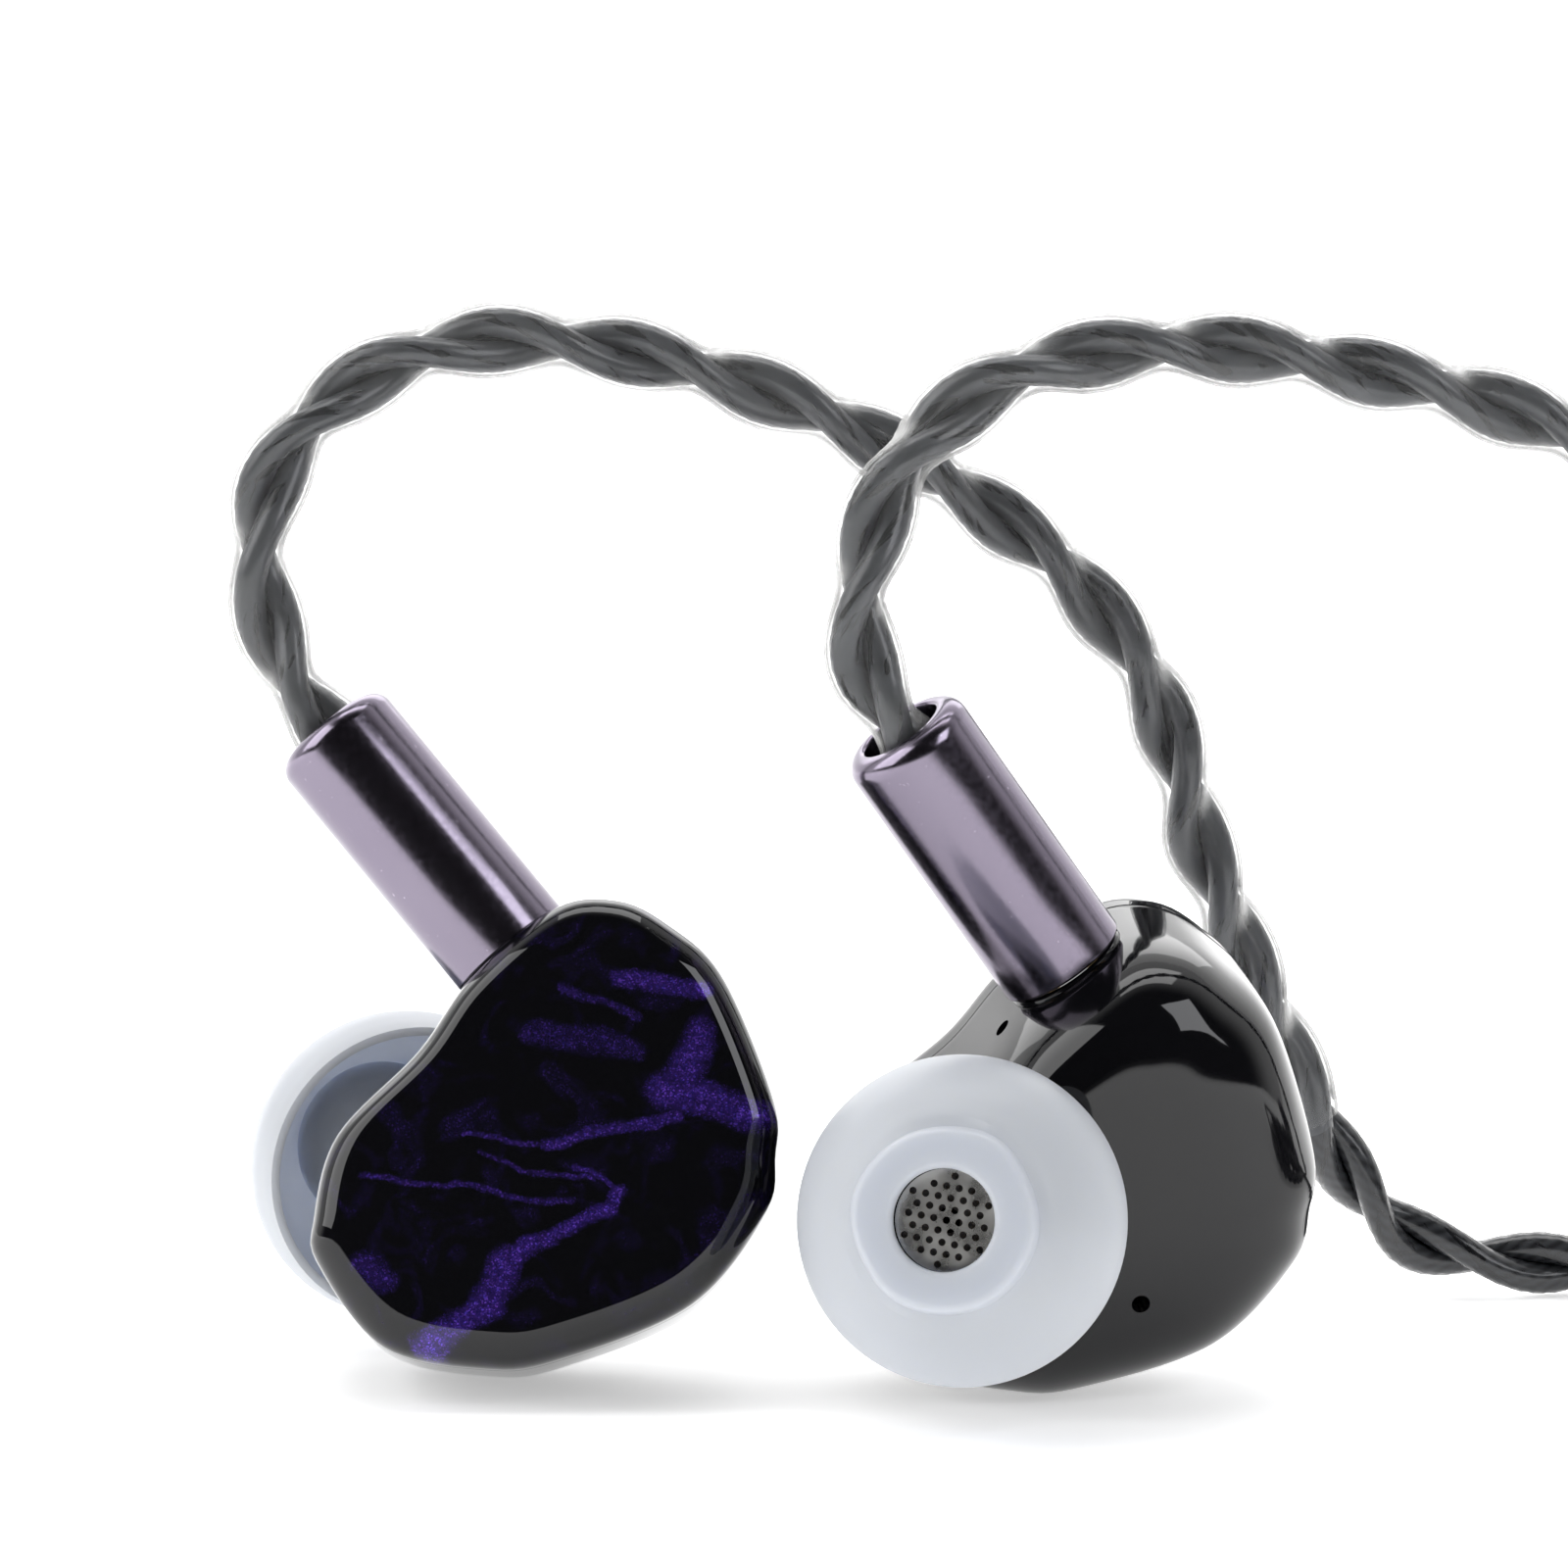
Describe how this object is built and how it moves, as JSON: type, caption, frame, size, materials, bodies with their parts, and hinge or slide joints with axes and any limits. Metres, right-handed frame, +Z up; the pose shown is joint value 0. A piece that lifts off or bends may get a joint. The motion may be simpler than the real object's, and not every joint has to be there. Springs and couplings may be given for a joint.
{
  "type": "in ear monitors",
  "caption": "In-ear monitors with silicone tips on angled nozzles, pin connectors, and a detachable over-ear cable with splitter, chin slider and plug.",
  "frame": {"origin": "middle of the bounding box of the two earpieces with their connector barrels, at its bottom face, which is the surface that they stand on", "axes": "+Z up, +X from the left-ear piece to the right-ear piece, +Y away from the left piece's faceplate"},
  "size_m": [0.1605, 0.0533, 0.0436],
  "materials": {
    "black_plastic": "matte",
    "black_resin": "gloss",
    "black_strap": "woven hook-and-loop",
    "charcoal_jacket": "satin",
    "clear_sleeve": "clear heat-shrink",
    "copper_wire": "enamelled copper",
    "diaphragm_film": "thin film",
    "gold_contact": "gold plated",
    "green_board": "solder mask",
    "grey_foam": "open-cell foam",
    "magnet_nickel": "nickel plated",
    "plated_iron": "plated",
    "red_insulation": "enamel",
    "steel_mesh": "perforated",
    "violet_gunmetal": "satin anodised",
    "violet_resin": "gloss, violet glitter swirls",
    "white_silicone": "satin, translucent"
  },
  "bodies": {
    "cable": {"left_connector_barrel": "violet_gunmetal", "left_connector_insert": "black_plastic", "left_pin_a": "gold_contact", "left_pin_b": "gold_contact", "left_ear_hook": "clear_sleeve", "left_branch_cable": "charcoal_jacket", "right_connector_barrel": "violet_gunmetal", "right_connector_insert": "black_plastic", "right_pin_a": "gold_contact", "right_pin_b": "gold_contact", "right_ear_hook": "clear_sleeve", "right_branch_cable": "charcoal_jacket", "main_lead_in": "charcoal_jacket", "main_cable_hank": "charcoal_jacket", "main_lead_out": "charcoal_jacket", "cable_tie": "black_strap", "y_splitter": "violet_gunmetal", "plug_strain_relief": "black_plastic", "plug_barrel": "violet_gunmetal", "plug_ground": "gold_contact", "plug_ring": "gold_contact", "plug_insulator": "black_plastic", "plug_tip": "gold_contact"},
    "left_earpiece": {"left_shell": "black_resin", "left_faceplate": "violet_resin", "left_nozzle_mesh": "steel_mesh", "left_nozzle_damper": "grey_foam", "left_socket_block": "black_plastic", "left_contact_a": "gold_contact", "left_contact_b": "gold_contact", "left_driver_frame": "black_plastic", "left_driver_yoke": "plated_iron", "left_driver_magnet": "magnet_nickel", "left_driver_pole_plate": "plated_iron", "left_terminal_board": "green_board", "left_signal_wire_a": "black_plastic", "left_signal_wire_b": "red_insulation"},
    "left_tip": {"left_ear_tip": "white_silicone"},
    "left_cone": {"left_diaphragm": "diaphragm_film", "left_voice_coil": "copper_wire"},
    "right_earpiece": {"right_shell": "black_resin", "right_faceplate": "violet_resin", "right_nozzle_mesh": "steel_mesh", "right_nozzle_damper": "grey_foam", "right_socket_block": "black_plastic", "right_contact_a": "gold_contact", "right_contact_b": "gold_contact", "right_driver_frame": "black_plastic", "right_driver_yoke": "plated_iron", "right_driver_magnet": "magnet_nickel", "right_driver_pole_plate": "plated_iron", "right_terminal_board": "green_board", "right_signal_wire_a": "black_plastic", "right_signal_wire_b": "red_insulation"},
    "right_tip": {"right_ear_tip": "white_silicone"},
    "right_cone": {"right_diaphragm": "diaphragm_film", "right_voice_coil": "copper_wire"},
    "chin_slider": {"chin_slider": "violet_gunmetal"}
  },
  "joints": [
    {"name": "left_unplug", "type": "slide", "parent": "cable", "child": "left_earpiece", "axis": [0.6361, -0.1788, -0.7506], "range_m": [0, 0.0031]},
    {"name": "left_tip_pull", "type": "slide", "parent": "left_earpiece", "child": "left_tip", "axis": [-0.3068, 0.9491, 0.0719], "range_m": [0, 0.006]},
    {"name": "left_cone_travel", "type": "slide", "parent": "left_earpiece", "child": "left_cone", "axis": [0, 0.9728, -0.2317], "range_m": [-0.0002, 0.0002], "stiffness_N_per_m": 50},
    {"name": "right_unplug", "type": "slide", "parent": "cable", "child": "right_earpiece", "axis": [0.5539, 0.2108, -0.8055], "range_m": [0, 0.0031]},
    {"name": "right_tip_pull", "type": "slide", "parent": "right_earpiece", "child": "right_tip", "axis": [-0.1599, -0.9749, 0.1548], "range_m": [0, 0.006]},
    {"name": "right_cone_travel", "type": "slide", "parent": "right_earpiece", "child": "right_cone", "axis": [0.127, -0.9775, -0.1685], "range_m": [-0.0002, 0.0002], "stiffness_N_per_m": 50},
    {"name": "chin_slide", "type": "slide", "parent": "cable", "child": "chin_slider", "axis": [-1, 0, 0], "range_m": [0, 0.008]}
  ]
}
